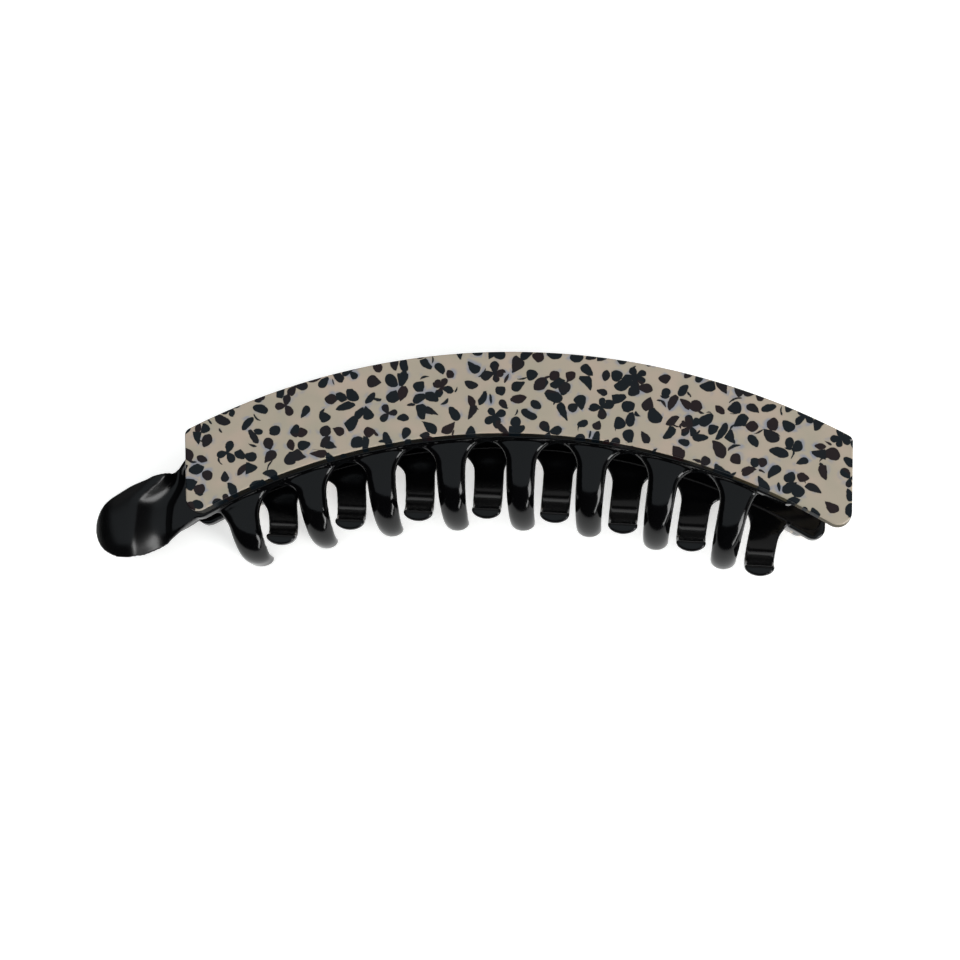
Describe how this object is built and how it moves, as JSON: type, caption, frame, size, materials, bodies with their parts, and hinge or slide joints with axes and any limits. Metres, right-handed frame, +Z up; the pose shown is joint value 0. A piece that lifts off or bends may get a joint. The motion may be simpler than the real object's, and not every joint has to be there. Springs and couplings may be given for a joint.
{
  "type": "banana hair clip",
  "caption": "Long curved hair clip: interlocking combs on a sprung hinge, each faced with a patterned acetate arc, with flared thumb paddles at one end.",
  "frame": {"origin": "on the lower plate's outer face, which the clip lies on, on the arc's axis and half way across the plate", "axes": "+X along the clip from the paddles to the free end, +Y towards the arc's convex side, +Z up from the lower plate to the upper one"},
  "size_m": [0.1247, 0.037, 0.0224],
  "materials": {
    "comb": "glossy black moulded plastic",
    "plate": "beige acetate with blue-black chips, smooth satin gloss",
    "steel": "plain bright wire"
  },
  "bodies": {
    "lower_arm": {"lower_comb": "comb", "lower_plate": "plate", "hinge_pin": "steel", "hinge_spring": "steel"},
    "upper_arm": {"upper_comb": "comb", "upper_plate": "plate"}
  },
  "joints": [
    {"name": "jaw", "type": "hinge", "parent": "lower_arm", "child": "upper_arm", "pos_m": [-0.0633, -0.0212, 0.0062], "axis": [0, -1, 0], "range_deg": [0, 35], "stiffness_Nm_per_rad": 0.15, "springref_deg": -45.84, "deforming": ["hinge_spring"]}
  ]
}
